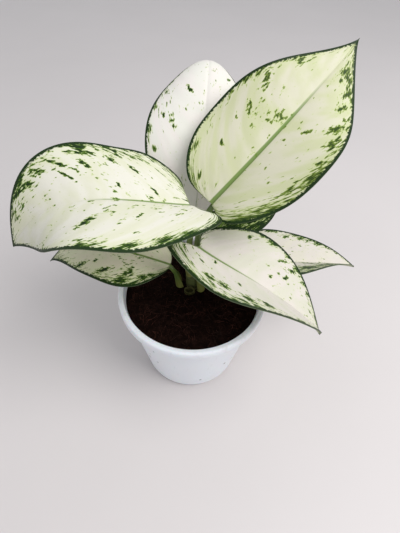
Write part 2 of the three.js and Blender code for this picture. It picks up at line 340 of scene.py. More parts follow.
for i in range(DRAIN_HOLES):
    angle = math.tau * i / DRAIN_HOLES
    hole = (DRAIN_CIRCLE * math.cos(angle) * MM, DRAIN_CIRCLE * math.sin(angle) * MM, 0)
    bpy.ops.mesh.primitive_cylinder_add(
        vertices=32, radius=DRAIN_RADIUS * MM, depth=DRILL_DEPTH * MM, location=hole
    )
    cutter = bpy.context.object
    drill = pot.modifiers.new("drain hole", "BOOLEAN")
    drill.object = cutter
    drill.solver = "EXACT"
    bpy.context.view_layer.objects.active = pot
    bpy.ops.object.modifier_apply(modifier=drill.name)
    bpy.data.objects.remove(cutter)
smooth(pot, 35)

pot_look = Look("white pot plastic")
at = pot_look.place()
height = pot_look.node("ShaderNodeSeparateXYZ", None, {"Vector": at}, out="Z")
cloud = pot_look.noise(at, 22.0, 3.0)
scuff_at = pot_look.node(
    "ShaderNodeVectorMath", {"operation": "MULTIPLY"}, {0: at, 1: (1.0, 1.0, 0.12)}
)
scuffs = pot_look.noise(scuff_at, 420.0, 3.0, 0.6).above(0.60, 0.75)
specks = pot_look.node(
    "ShaderNodeTexVoronoi", {"feature": "F1"}, {"Vector": at, "Scale": 95.0}, out="Distance"
)
speck_pick = pot_look.noise(at, 47.0, 1.0).above(0.57, 0.60)
grit = specks.below(0.06, 0.16) * speck_pick
film = pot_look.noise(at, 120.0, 4.0, 0.65).above(0.45, 0.8)
film = film * height.above(FILM_STARTS * MM, FILM_FULL * MM)
white = pot_look.mix(cloud, POT_WHITE, POT_CLOUD)
white = pot_look.mix(scuffs * 0.18, white, SCUFF_GREY)
white = pot_look.mix(film * 0.22, white, FILM_BROWN)
white = pot_look.mix(grit * 0.9, white, GRIT_BROWN)
pot_grain = pot_look.noise(at, 900.0, 2.0)
pot_finish = pot_look.finish(
    base_color=white,
    roughness=0.30 + 0.12 * cloud + 0.3 * grit,
    normal=pot_look.bump(pot_grain + 2.0 * grit, 0.00008),
    subsurface_weight=0.12,
    subsurface_scale=0.004,
)
dress(pot, pot_finish)
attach(pot, "root")
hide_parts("pot")

# ---------------------------------------------------------------------------
# Soil
# Damp dark cocopeat, filled to a finger's width under the lip and slightly
# mounded round the plant. Its top is loose crumbs with stray coir fibres.

SOIL_TOP = 87.8
SOIL_EDGE = 86.0
CRUMB_ROOM = 0.7
SOIL_GAP = 0.35
SOIL_FLOOR = POT_WALL + SOIL_GAP
SOIL_SPREAD = 55.0
SOIL_SECTORS = 180
SOIL_RINGS = 60
LUMP_SIZE = 9.0
LUMP_HEIGHT = 0.75
SOIL_COLOUR = (0.006, 0.0028, 0.0022, 1)
SOIL_GRAIN_COLOUR = (0.020, 0.0085, 0.0065, 1)
CRUMBS = 2600
CRUMB_SPREAD = 53.4
CRUMB_GRAIN_COLOUR = (0.026, 0.011, 0.008, 1)
FIBRES = 420
FIBRE_SPREAD = 50.0
FIBRE_LIMIT = 52.5
FIBRE_BENDS = 7
FIBRE_FACES = 3
FIBRE_DARK = (0.03, 0.014, 0.01, 1)
FIBRE_RED = (0.13, 0.042, 0.028, 1)

dice = random.Random(7)


def soil_height(x, y):
    """Height of the loose soil surface at a place, in mm."""
    out = min(1.0, math.hypot(x, y) / SOIL_SPREAD)
    level_height = SOIL_TOP - CRUMB_ROOM + (SOIL_EDGE - SOIL_TOP) * out**2
    lumps = noise.fractal(Vector((x, y, 3.0)) / LUMP_SIZE, 0.9, 2.0, 4)
    return level_height + LUMP_HEIGHT * lumps


def placed_grid(name, columns, rows, place):
    """A grid primitive with each vertex set at place(u, v) in mm, u and v from 0 to 1."""
    bpy.ops.object.select_all(action="DESELECT")
    bpy.ops.mesh.primitive_grid_add(x_subdivisions=columns, y_subdivisions=rows, size=1)
    piece = bpy.context.object
    piece.name = name
    for vertex in piece.data.vertices:
        vertex.co = place(vertex.co.x + 0.5, vertex.co.y + 0.5) * MM
    return piece


soil_side = [
    (pot_wall(SOIL_EDGE) - POT_WALL - SOIL_GAP, None),
    (pot_wall(50) - POT_WALL - SOIL_GAP, 50.0),
    (pot_wall(9) - POT_WALL - SOIL_GAP, 9.3),
    (pot_wall(4) - 4.2, 4.2),
    (pot_wall(2) - 6.8, SOIL_FLOOR),
    (20.0, SOIL_FLOOR),
    (0.0, SOIL_FLOOR),
]


def soil_place(u, v):
    """v runs out over the top to the wall, then down the side and in under the base."""
    angle = math.tau * u
    ring = v * (SOIL_RINGS + len(soil_side) - 1)
    if ring <= SOIL_RINGS + 0.001:
        radius = soil_side[0][0] * ring / SOIL_RINGS
        x, y = radius * math.cos(angle), radius * math.sin(angle)
        return Vector((x, y, soil_height(x, y)))
    radius, height = soil_side[round(ring) - SOIL_RINGS]
    return Vector((radius * math.cos(angle), radius * math.sin(angle), height))


soil = placed_grid("soil_body", SOIL_SECTORS, SOIL_RINGS + len(soil_side) - 1, soil_place)
close_up(soil)
smooth(soil, 60)

soil_look = Look("damp cocopeat")
at = soil_look.place()
grain = soil_look.noise(at, 260.0, 5.0, 0.7)
soil_shade = soil_look.mix(grain.above(0.42, 0.72), SOIL_COLOUR, SOIL_GRAIN_COLOUR)
soil_finish = soil_look.finish(
    base_color=soil_shade,
    roughness=0.96,
    specular_ior_level=0.03,
    normal=soil_look.bump(grain, 0.0009),
)
dress(soil, soil_finish)
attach(soil, "root")
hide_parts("soil")


def joined_copies(name, shape, placings):
    """One piece of many copies of a small mesh, each copy with its own placing matrix."""
    points, faces = [], []
    corners = [v.co.copy() for v in shape.data.vertices]
    polygons = [tuple(p.vertices) for p in shape.data.polygons]
    for placing in placings:
        start = len(points)
        points += [placing @ corner for corner in corners]
        faces += [tuple(start + index for index in polygon) for polygon in polygons]
    mesh = bpy.data.meshes.new(name)
    mesh.from_pydata(points, [], faces)
    piece = bpy.data.objects.new(name, mesh)
    bpy.context.scene.collection.objects.link(piece)
    bpy.data.objects.remove(shape)
    return piece


bpy.ops.mesh.primitive_ico_sphere_add(subdivisions=1, radius=1 * MM, location=(0, 0, 0))
crumb_shape = bpy.context.object
for vertex in crumb_shape.data.vertices:
    vertex.co *= 0.8 + 0.4 * noise.noise(vertex.co * 900 + Vector((5, 2, 1)))
crumb_placings = []
for _ in range(CRUMBS):
    out = CRUMB_SPREAD * math.sqrt(dice.random())
    turn = dice.uniform(0, math.tau)
    x, y = out * math.cos(turn), out * math.sin(turn)
    size = dice.uniform(0.25, 0.75) + (0.8 if dice.random() < 0.05 else 0.0)
    spot = Vector((x, y, soil_height(x, y) + 0.3 * size)) * MM
    twist = Matrix.Rotation(dice.uniform(0, math.tau), 4, "Z")
    tilt = Matrix.Rotation(dice.uniform(0, 1.2), 4, "X")
    stretch = Matrix.Diagonal((size, size * dice.uniform(0.6, 1.4), size * 0.7, 1))
    crumb_placings.append(Matrix.Translation(spot) @ (twist @ tilt) @ stretch)
crumbs = joined_copies("soil_crumbs", crumb_shape, crumb_placings)
crumb_look = Look("cocopeat crumbs")
crumb_tone = crumb_look.noise(crumb_look.place(), 310.0, 2.0)
crumb_shade = crumb_look.mix(crumb_tone.above(0.4, 0.7), SOIL_COLOUR, CRUMB_GRAIN_COLOUR)
crumb_finish = crumb_look.finish(
    base_color=crumb_shade,
    roughness=0.95,
    specular_ior_level=0.03,
    normal=crumb_look.bump(crumb_tone, 0.0004),
)
dress(crumbs, crumb_finish)
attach(crumbs, "root")

fibre_points, fibre_faces = [], []
for _ in range(FIBRES):
    out = FIBRE_SPREAD * math.sqrt(dice.random())
    turn = dice.uniform(0, math.tau)
    spot = Vector((out * math.cos(turn), out * math.sin(turn), 0))
    heading = dice.uniform(0, math.tau)
    curl = dice.uniform(-0.2, 0.2)
    step = dice.uniform(0.7, 1.9)
    lift = dice.uniform(0.2, 1.0)
    radius = dice.uniform(0.045, 0.09)
    start = len(fibre_points)
    for bend in range(FIBRE_BENDS):
        share = bend / (FIBRE_BENDS - 1)
        if math.hypot(spot.x, spot.y) > FIBRE_LIMIT:
            heading += math.pi / 2
        rise = lift * math.sin(math.pi * share) - 0.15
        centre = Vector((spot.x, spot.y, soil_height(spot.x, spot.y) + rise + 0.2))
        across = Vector((-math.sin(heading), math.cos(heading), 0))
        for k in range(FIBRE_FACES):
            angle = math.tau * k / FIBRE_FACES
            offset = across * math.cos(angle) + Vector((0, 0, math.sin(angle)))
            fibre_points.append((centre + radius * (1.1 - share * 0.7) * offset) * MM)
        spot += step * Vector((math.cos(heading), math.sin(heading), 0))
        heading += curl + dice.uniform(-0.25, 0.25)
    for bend in range(FIBRE_BENDS - 1):
        a = start + bend * FIBRE_FACES
        for k in range(FIBRE_FACES):
            n = (k + 1) % FIBRE_FACES
            fibre_faces.append((a + k, a + n, a + FIBRE_FACES + n, a + FIBRE_FACES + k))
    fibre_faces.append(tuple(start + k for k in reversed(range(FIBRE_FACES))))
    last = start + (FIBRE_BENDS - 1) * FIBRE_FACES
    fibre_faces.append(tuple(last + k for k in range(FIBRE_FACES)))
fibre_mesh = bpy.data.meshes.new("soil_fibres")
fibre_mesh.from_pydata(fibre_points, [], fibre_faces)
fibres = bpy.data.objects.new("soil_fibres", fibre_mesh)
bpy.context.scene.collection.objects.link(fibres)
close_up(fibres, merge=0.001 * MM)
fibre_look = Look("coir fibre")
fibre_tone = fibre_look.noise(fibre_look.place(), 90.0, 2.0)
fibre_shade = fibre_look.mix(fibre_tone.above(0.35, 0.7), FIBRE_DARK, FIBRE_RED)
fibre_finish = fibre_look.finish(
    base_color=fibre_shade, roughness=0.8, specular_ior_level=0.2
)
dress(fibres, fibre_finish)
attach(fibres, "root")

# ---------------------------------------------------------------------------
# Stem and roots
# A short green cane ringed with leaf scars, standing a little behind the
# middle of the pot. It is one growth with the cord-like roots below the soil.

STEM_PLACE = Vector((0.0, 8.0, 0.0))
STEM_RADIUS = 5.6
STEM_BOTTOM = 56.0
STEM_TOP = 103.5
STEM_TAPER = 14
STEM_DOME = 2.5
LEAF_SCARS = (89.5, 93.0, 98.0, 101.0)
SCAR_HEIGHT = 0.35
SCAR_WIDTH = 0.45
CANE_DARK = (0.035, 0.05, 0.01, 1)
CANE_LIGHT = (0.13, 0.15, 0.04, 1)
CANE_FOOT = (0.06, 0.045, 0.018, 1)
FOOT_FULL = 87.0
FOOT_ENDS = 97.0
ROOTS = 8
ROOT_LENGTH = 34.0
ROOT_RADIUS = 1.5
ROOT_DIP = 38
ROOT_CREAM = (0.42, 0.33, 0.2, 1)
ROOT_BROWN = (0.24, 0.16, 0.09, 1)


def stem_place(u, v):
    """A round cane that narrows to its foot and domes at its top, with raised leaf scars."""
    angle = math.tau * u
    height = STEM_BOTTOM + (STEM_TOP - STEM_BOTTOM) * v
    radius = STEM_RADIUS * min(1.0, 0.55 + (height - STEM_BOTTOM) / STEM_TAPER)
    radius *= min(1.0, math.sqrt(max(0.0, (STEM_TOP - height) / STEM_DOME)))
    for scar in LEAF_SCARS:
        ridge = SCAR_HEIGHT * math.exp(-(((height - scar) / SCAR_WIDTH) ** 2))
        radius += ridge * (height < STEM_TOP - 1)
    radius *= 1 + 0.03 * noise.noise(Vector((math.cos(angle), math.sin(angle), height / 9)))
    return STEM_PLACE + Vector((radius * math.cos(angle), radius * math.sin(angle), height))


stem = placed_grid("cane", 40, 110, stem_place)
close_up(stem, caps=True)
smooth(stem, 60)


def root_point(index, share):
    """Point on a root's centre line, share 0 at the cane and 1 at its end."""
    angle = math.tau * (index + 0.3) / ROOTS + 0.5 * share
    start = STEM_BOTTOM + 4 + (index % 3) * 4
    dip = 1 if index % 2 else 0.55
    x = STEM_PLACE.x + math.cos(angle) * ROOT_LENGTH * share
    y = STEM_PLACE.y * (1 - share) + math.sin(angle) * ROOT_LENGTH * share
    return Vector((x, y, start - ROOT_DIP * dip * share**1.4))


def tube_place(centre, radius):
    """Places a grid as a round tube: u goes round it and v along its centre line."""

    def place(u, v):
        along = (centre(min(v + 0.01, 1)) - centre(max(v - 0.01, 0))).normalized()
        across = along.cross(Vector((0, 0, 1))).normalized()
        over = across.cross(along)
        angle = math.tau * u
        return centre(v) + radius(v) * (math.cos(angle) * across + math.sin(angle) * over)

    return place


roots = []
for i in range(ROOTS):
    root_place = tube_place(
        lambda v, index=i: root_point(index, 0.06 + 0.94 * v),
        lambda v: ROOT_RADIUS * (1 - 0.5 * v),
    )
    root = placed_grid(f"root_{i + 1}", 10, 16, root_place)
    close_up(root, caps=True)
    smooth(root, 60)
    roots.append(root)

cane_look = Look("green cane")
at = cane_look.place()
cane_tone = cane_look.noise(at, 70.0, 3.0)
cane_height = cane_look.node("ShaderNodeSeparateXYZ", None, {"Vector": at}, out="Z")
cane_green = cane_look.mix(cane_tone, CANE_DARK, CANE_LIGHT)
cane_foot = cane_height.below(FOOT_FULL * MM, FOOT_ENDS * MM)
cane_green = cane_look.mix(cane_foot * 0.8, cane_green, CANE_FOOT)
cane_finish = cane_look.finish(
    base_color=cane_green, roughness=0.55, normal=cane_look.bump(cane_tone, 0.0004)
)
root_look = Look("cream root")
root_tone = root_look.noise(root_look.place(), 160.0, 3.0)
root_finish = root_look.finish(
    base_color=root_look.mix(root_tone, ROOT_CREAM, ROOT_BROWN),
    roughness=0.8,
    normal=root_look.bump(root_tone, 0.0003),
)
dress(stem, cane_finish)
for root in roots:
    dress(root, root_finish)
for piece in (stem, *roots):
    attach(piece, "root")
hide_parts("stem_and_roots")

# ---------------------------------------------------------------------------
# Cut leaf stalk
# The stub of an older leaf's stalk, cut off low and dried to a brown ring
# round a sunken middle, at the foot of the cane.

STUB_PLACE = Vector((-2.2, -1.6, 89.0))
STUB_HEIGHT = 4.5
STUB_RADIUS = 4.6
STUB_LEAN = math.radians(10)
STUB_FLATTENING = 0.75
STUB_DARK = (0.012, 0.012, 0.003, 1)
STUB_OLIVE = (0.055, 0.052, 0.014, 1)
STUB_RIM = (0.10, 0.095, 0.035, 1)
RIM_STARTS = 91.8
RIM_FULL = 93.5

stub_profile = [
    (0.4, 0.0),
    (STUB_RADIUS - 0.7, 0.0),
    (STUB_RADIUS - 0.1, 0.9),
    (STUB_RADIUS, 2.4),
    (STUB_RADIUS - 0.1, 3.9),
    *arc((STUB_RADIUS - 0.8, STUB_HEIGHT - 0.6), 0.6, 10, 170, 6),
    (STUB_RADIUS - 1.9, STUB_HEIGHT - 1.3),
    (STUB_RADIUS - 2.6, STUB_HEIGHT - 1.9),
    (STUB_RADIUS - 3.4, STUB_HEIGHT - 1.6),
    (0.4, STUB_HEIGHT - 1.7),
]
stub = turned("cut_stalk_stub", stub_profile, 48)
lean_cos, lean_sin = math.cos(STUB_LEAN), math.sin(STUB_LEAN)
for vertex in stub.data.vertices:
    x, y, z = vertex.co
    ragged = 0.4 * MM * noise.noise(Vector((x, y, z)) * 700) * (z > 2 * MM)
    y *= STUB_FLATTENING
    vertex.co = (
        x + STUB_PLACE.x * MM,
        y * lean_cos - z * lean_sin + STUB_PLACE.y * MM,
        y * lean_sin + z * lean_cos + ragged + STUB_PLACE.z * MM,
    )
smooth(stub, 50)
stub_look = Look("dried cut stalk")
at = stub_look.place()
stub_tone = stub_look.noise(at, 380.0, 4.0, 0.6)
stub_height = stub_look.node("ShaderNodeSeparateXYZ", None, {"Vector": at}, out="Z")
stub_brown = stub_look.mix(stub_tone.above(0.35, 0.7), STUB_DARK, STUB_OLIVE)
stub_cut = stub_height.above(RIM_STARTS * MM, RIM_FULL * MM)
stub_brown = stub_look.mix(stub_cut * 0.5, stub_brown, STUB_RIM)
stub_finish = stub_look.finish(
    base_color=stub_brown,
    roughness=0.75,
    specular_ior_level=0.1,
    normal=stub_look.bump(stub_tone, 0.0005),
)
dress(stub, stub_finish)
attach(stub, "root")
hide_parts("cut_leaf_stalk")

# ---------------------------------------------------------------------------
# Leaves
# Seven leaves, each a waxy cream blade with a dark green margin and streaks
# along its side veins, on a grooved stalk whose foot sheathes the stem.

# foot and stout are the place and the radius of a stalk's foot, and bow is how far the stalk
# bends aside. spine guides the midrib from the joint to the tip. half holds the blade's full
# widths left and right of the midrib, shape says how fast they shrink to the base and to the
# tip, and lobe how far each half reaches back past the joint, as a share of the length. fold
# is how steeply each half rises from the midrib, at the base and at the tip, roll how far the
# blade turns about it there, and cup how far each half curls over, all in degrees. wave is the
# height of each margin's ripples and where they start, in degrees.
LEAVES = {
    "leaf_upper_left": dict(
        foot=(-2.4, 4.4, 104), stout=2.9, bow=(-6, 3, 0),
        spine=((-3, 1, 177), (-39, -17, 191), (-86, -17, 206), (-120, -17, 149)),
        half=(44, 46), lobe=(0.1, 0.04), fold=((13, 3), (13, 34)), roll=(-13, 24),
        cup=11, shape=(0.35, 1.08), wave=((-5.9, -44), (5, 38)),
    ),
    "leaf_upper_right": dict(
        foot=(4, 7.6, 104), stout=2.9, bow=(0, 0, 0),
        spine=((11, 11, 171), (38, 25, 200), (73, 57, 225), (104, 93, 250)),
        half=(48, 47), lobe=(0.03, 0.04), fold=((32, 13), (15, -2)), roll=(10, -23),
        cup=12, shape=(0.43, 1.38), wave=((4.3, 66), (5.6, 195)),
    ),
    "leaf_back": dict(
        foot=(-1.7, 11.8, 104), stout=2.9, bow=(4.5, 1.5, 0),
        spine=((0, 29, 151), (4, 58, 199), (6, 102, 247), (4, 145, 209)),
        half=(43, 39), lobe=(0.03, 0.03), fold=((13, -1), (5, -2)), roll=(-5, -1),
        cup=36, shape=(0.34, 1.6), wave=((3.3, -62), (3.8, -69)),
    ),
    "leaf_front_right": dict(
        foot=(6.7, 2.3, 89), stout=3.4, bow=(0, 0, 0),
        spine=((4, -7, 147), (26, -22, 141), (70, -35, 132), (97, -38, 92)),
        half=(40, 41), lobe=(0.07, 0.19), fold=((17, 18), (11, 36)), roll=(-2, 18),
        cup=2, shape=(0.59, 1.16), wave=((1, 28), (-2.2, -26)),
    ),
    "leaf_low_right": dict(
        foot=(8.3, 10.8, 88.6), stout=3.4, bow=(0, 0, 0),
        spine=((28, 18, 110), (69, 25, 102), (112, 36, 94), (147, 45, 79)),
        half=(37, 37), lobe=(0.03, 0.03), fold=((12, 30), (10, 41)), roll=(13, 14),
        cup=4, shape=(0.36, 1.07), wave=((1.2, -52), (-2.3, -42)),
    ),
    "leaf_low_left": dict(
        foot=(-9.6, 6.6, 89), stout=4.4, bow=(-3, 2, -1),
        spine=((-17, -3, 123), (-50, 1, 132), (-81, 5, 142), (-111, 3, 114)),
        half=(32, 33), lobe=(-0.02, 0), fold=((15, 4), (13, 12)), roll=(-5, 9),
        cup=22, shape=(0.37, 1.33), wave=((-2.6, -41), (0.1, -2)),
    ),
    "leaf_back_right": dict(
        foot=(3.2, 16.4, 89), stout=3.4, bow=(0, 0, 0),
        spine=((14, 31, 120), (34, 56, 138), (53, 86, 144), (68, 118, 128)),
        half=(32, 32), lobe=(0.02, 0.02), fold=((16, 8), (16, 8)), roll=(0, 0),
        cup=20, shape=(0.35, 1.2), wave=((2, 0), (2, 90)),
    ),
}
MARGIN_WAVES = 1.5
LOBE_POSITION = 0.05
CUP_STEPS = 6
BLADE_THICKNESS = 0.6
BLADE_ROWS = 130
BLADE_COLUMNS = 52
VEIN_PAIRS = 10
VEIN_LEAN = 0.16
VEIN_SWEEP = 0.26
GROOVE_DEPTH = 0.5
QUILT_HEIGHT = 0.12
VEIN_DEPTH = 0.03
VEIN_NARROWNESS = 0.10


def lerp(a, b, share):
    """The number a share of the way from a to b."""
    return a + (b - a) * share


def bezier(points, t):
    """Point at t on the curve that four points guide."""
    p0, p1, p2, p3 = points
    s = 1 - t
    return s**3 * p0 + 3 * s * s * t * p1 + 3 * s * t * t * p2 + t**3 * p3


def bezier_heading(points, t):
    """Direction of that curve at t."""
    p0, p1, p2, p3 = points
    s = 1 - t
    return (s * s * (p1 - p0) + 2 * s * t * (p2 - p1) + t * t * (p3 - p2)).normalized()


def outline(t, shape):
    """Share of the full half-width at t along the blade, 1 at the widest."""
    to_base, to_tip = shape

    def raw(x):
        return x**to_base * (1 - x * x) ** to_tip

    return raw(t) / raw(math.sqrt(to_base / (to_base + 2 * to_tip)))


class Blade:
    """The middle surface of one leaf's blade, by the same sizes as the CAD leaf."""

    def __init__(self, leaf):
        self.leaf = leaf
        self.spine = [Vector(p) for p in leaf["spine"]]
        self.length = sum((b - a).length for a, b in zip(self.spine, self.spine[1:]))

    def axes(self, t):
        """Directions along the midrib, to the right, and up out of the face."""
        along = bezier_heading(self.spine, t)
        reach = self.spine[3] - self.spine[0]
        side = Vector((reach.y, -reach.x, 0)).normalized()
        side = (side - along * side.dot(along)).normalized()
        up = side.cross(along)
        roll = math.radians(lerp(*self.leaf["roll"], t))
        return (
            along,
            math.cos(roll) * side + math.sin(roll) * up,
            math.cos(roll) * up - math.sin(roll) * side,
        )

    def width(self, t, s):
        """Width in mm from the midrib to the margin, on the side that s is on."""
        return self.leaf["half"][1 if s > 0 else 0] * outline(t, self.leaf["shape"])

    def point(self, t, s):
        """t runs from base to tip, and s from -1 at the left margin to 1 at the right."""
        leaf = self.leaf
        along, side, up = self.axes(t)
        half = 1 if s > 0 else 0
        a = abs(s)
        share = outline(t, leaf["shape"])
        fold = math.radians(lerp(*leaf["fold"][half], t))
        out = rise = 0.0
        for k in range(CUP_STEPS):
            angle = fold - math.radians(leaf["cup"]) * a * (k + 0.5) / CUP_STEPS
            out += math.cos(angle) * a / CUP_STEPS
            rise += math.sin(angle) * a / CUP_STEPS
        width = leaf["half"][half] * share
        height, phase = leaf["wave"][half]
        turn = math.tau * MARGIN_WAVES * t + math.radians(phase)
        wave = height * math.sin(turn) * share * a * a
        x = t / LOBE_POSITION
        back = -leaf["lobe"][half] * self.length * x * math.exp(1 - x) * a
        return (
            bezier(self.spine, t)
            + along * back
            + side * math.copysign(width * out, s)
            + up * (width * rise + wave)
        )

    def normal(self, t, s):
        """Direction straight out of the upper face."""
        ahead = self.point(min(t + 0.004, 0.9999), s) - self.point(max(t - 0.004, 0.0005), s)
        across = self.point(t, min(s + 0.02, 1)) - self.point(t, max(s - 0.02, -1))
        return across.cross(ahead).normalized()


def vein_start(t, s):
    """Where on the midrib the side vein through a point of the blade starts."""
    sweep = VEIN_LEAN * abs(s) + VEIN_SWEEP * abs(s) ** 2.5
    return (t - sweep) / (1 - sweep)


def blade_relief(blade, t, s):
    """Height of the quilted face in mm: a sunken midrib and faintly sunken side veins."""
    width = max(blade.width(t, s), 0.01)
    across = abs(s) * width
    groove = GROOVE_DEPTH * (1 - 0.7 * t) * math.exp(-((across / (1.6 - t)) ** 2))
    phase = vein_start(t, s) * VEIN_PAIRS
    vein = math.exp(-(((phase - round(phase)) / VEIN_NARROWNESS) ** 2))
    quilt = 0.5 + 0.5 * math.cos(math.tau * phase + math.pi)
    fade = min(1.0, across / 4) * min(1.0, (1 - abs(s)) * width / 5)
    return -groove + fade * (QUILT_HEIGHT * quilt - VEIN_DEPTH * vein)


def blade_rows(v):
    """Rows are closer together near the base, where the outline turns fastest."""
    return 0.0005 + 0.999 * v**1.35


def blade_columns(u):
    """Columns are closer together near the midrib."""
    side = 2 * u - 1
    return math.copysign(abs(side) ** 1.25, side)


def store(piece, name, numbers):
    """Keeps one number for each point of a piece, for its material to read."""
    layer = piece.data.attributes.new(name, "FLOAT", "POINT")
    layer.data.foreach_set("value", numbers)


def spot_field(blade, t, s, spots):
    """1 in the middle of a large mark, 0 on its outline, and less the further outside.

    Each mark is (place along, place across, length along its side vein in mm, width in mm).
    """
    field = -1.0
    for spot_t, spot_s, length, width in spots:
        if s * spot_s < 0:
            continue
        ahead = (t - spot_t) * blade.length
        outward = abs(s) * blade.width(t, s) - abs(spot_s) * blade.width(spot_t, spot_s)
        lean = VEIN_LEAN + 2.5 * VEIN_SWEEP * abs(spot_s) ** 1.5
        angle = math.atan2(blade.width(spot_t, spot_s), lean * blade.length)
        down_vein = ahead * math.cos(angle) + outward * math.sin(angle)
        off_vein = outward * math.cos(angle) - ahead * math.sin(angle)
        field = max(field, 1 - math.hypot(2 * off_vein / width, 2 * down_vein / length))
    return field


def make_blade(name, leaf, spots):
    """The blade as a thin closed shell, with what its material reads stored on its points."""
    blade = Blade(leaf)
    piece = placed_grid(
        f"{name}_blade", BLADE_COLUMNS, BLADE_ROWS, lambda u, v: Vector((u, v, 0))
    )
    places = [
        (blade_rows(v.co.y / MM), blade_columns(v.co.x / MM)) for v in piece.data.vertices
    ]
    middle = [
        blade.point(t, s) + blade.normal(t, s) * blade_relief(blade, t, s) for t, s in places
    ]
    for vertex, point in zip(piece.data.vertices, middle):
        vertex.co = point * MM
    widths = [blade.width(t, s) for t, s in places]
    store(piece, "along", [t for t, s in places])
    store(piece, "across", [s for t, s in places])
    store(piece, "edge", [(1 - abs(s)) * w for (t, s), w in zip(places, widths)])
    store(piece, "rib", [abs(s) * w for (t, s), w in zip(places, widths)])
    store(piece, "vein", [vein_start(t, s) for t, s in places])
    store(piece, "spot", [spot_field(blade, t, s, spots) for t, s in places])
    thick = piece.modifiers.new("thickness", "SOLIDIFY")
    thick.thickness = BLADE_THICKNESS * MM
    thick.offset = 0
    bpy.context.view_layer.objects.active = piece
    bpy.ops.object.modifier_apply(modifier=thick.name)
    half = len(piece.data.vertices) // 2
    under = []
    for index, vertex in enumerate(piece.data.vertices):
        out = vertex.co / MM - middle[index % half]
        on_top = out.dot(blade.normal(*places[index % half])) > 0
        under.append(0.0 if on_top else 1.0)
    store(piece, "under", under)
    smooth(piece, 70)
    return piece


STALK_TOP_RADIUS = 2.0
STALK_SHARE = 0.55
STALK_REACH = 0.94
RIB_START = 0.045
RIB_END_RADIUS = 0.6
RIB_SHARE = 0.80
SHEATH_SHARE = 0.55
WING_ANGLE = 115.0
STALK_ROWS = 70
STALK_COLUMNS = 28
OUTER_SHARE = 0.66


def make_stalk(name, leaf):
    """The stalk from its sheathing foot to the joint, and on under the blade as the midrib."""
    blade = Blade(leaf)
    foot = Vector(leaf["foot"])
    joint = blade.spine[0]
    ahead = (blade.spine[1] - joint).normalized()
    reach = (joint - foot).length
    outward = Vector((foot.x - STEM_PLACE.x, foot.y - STEM_PLACE.y, 0)).normalized()
    arrival = (0.5 * ahead + Vector((0, 0, 0.6))).normalized()
    bow = Vector(leaf["bow"])
    path = [
        foot,
        foot + Vector((0, 0, 0.4 * reach)) + bow,
        joint - arrival * 0.35 * reach + bow,
        joint,
    ]
    blade_up = blade.axes(0.05)[2]

    def station(v):
        """Centre, radius, groove floor and face direction at v along stalk and midrib."""
        if v <= STALK_SHARE:
            u = STALK_REACH * v / STALK_SHARE
            sheath = max(0.0, 1 - u / SHEATH_SHARE)
            return (
                bezier(path, u),
                lerp(STALK_TOP_RADIUS, leaf["stout"], sheath),
                lerp(0.25, -0.45, min(1.0, 2.0 * sheath)),
                (-outward).lerp(blade_up, u * u),
            )
        share = (v - STALK_SHARE) / (1 - STALK_SHARE)
        t = lerp(RIB_START, RIB_SHARE, share)
        radius = lerp(STALK_TOP_RADIUS, RIB_END_RADIUS, share)
        up = blade.axes(t)[2]
        centre = blade.point(t, 0) + up * (-0.5 - 0.42 * radius)
        return centre, radius, 0.5, up

    rows = [station(i / STALK_ROWS) for i in range(STALK_ROWS + 1)]
    centres = [row[0] for row in rows]
    for _ in range(3):
        between = zip(centres, centres[1:], centres[2:])
        softened = [(a + 2 * b + c) / 4 for a, b, c in between]
        centres = [centres[0], *softened, centres[-1]]

    def place(u, v):
        """u runs round the outer side from wing to wing, then back over the grooved face."""
        i = round(v * STALK_ROWS)
        _, radius, floor, face = rows[i]
        along = (centres[min(i + 1, STALK_ROWS)] - centres[max(i - 1, 0)]).normalized()
        face = (face - along * face.dot(along)).normalized()
        side = along.cross(face)
        if u <= OUTER_SHARE:
            angle = math.radians(lerp(-WING_ANGLE, WING_ANGLE, u / OUTER_SHARE))
            x, y = math.sin(angle), -math.cos(angle)
        else:
            edge = lerp(1, -1, (u - OUTER_SHARE) / (1 - OUTER_SHARE))
            wing = math.radians(WING_ANGLE)
            x = math.sin(wing) * edge
            y = lerp(floor, -math.cos(wing), edge * edge)
        ridge = 1 + 0.02 * math.cos(9 * math.tau * u)
        return centres[i] + radius * ridge * (x * side + y * face)

    piece = placed_grid(f"{name}_stalk", STALK_COLUMNS, STALK_ROWS, place)
    stalk_rows = [vertex.index // (STALK_COLUMNS + 1) for vertex in piece.data.vertices]
    store(piece, "up_stalk", [round(row / STALK_ROWS, 4) for row in stalk_rows])
    close_up(piece, merge=0.02 * MM, caps=True)
    smooth(piece, 50)
    return piece


CREAM = (0.715, 0.69, 0.60, 1)
BLUSH = (0.66, 0.61, 0.555, 1)
LIME = (0.50, 0.57, 0.24, 1)
DEEP_GREEN = (0.008, 0.027, 0.002, 1)
LEAF_GREEN = (0.065, 0.135, 0.006, 1)
OLIVE = (0.15, 0.215, 0.028, 1)
DEEP_OLIVE = (0.028, 0.058, 0.005, 1)
RIB_GREEN = (0.13, 0.22, 0.035, 1)
UNDERSIDE = (0.40, 0.45, 0.29, 1)
STALK_DARK = (0.06, 0.12, 0.018, 1)
STALK_LIGHT = (0.15, 0.21, 0.045, 1)
SHEATH_LIME = (0.20, 0.195, 0.05, 1)
STALK_FLECKS = (0.09, 0.07, 0.03, 1)
MARK_LEVEL = 0.605
SPOT_LEVEL = 0.235


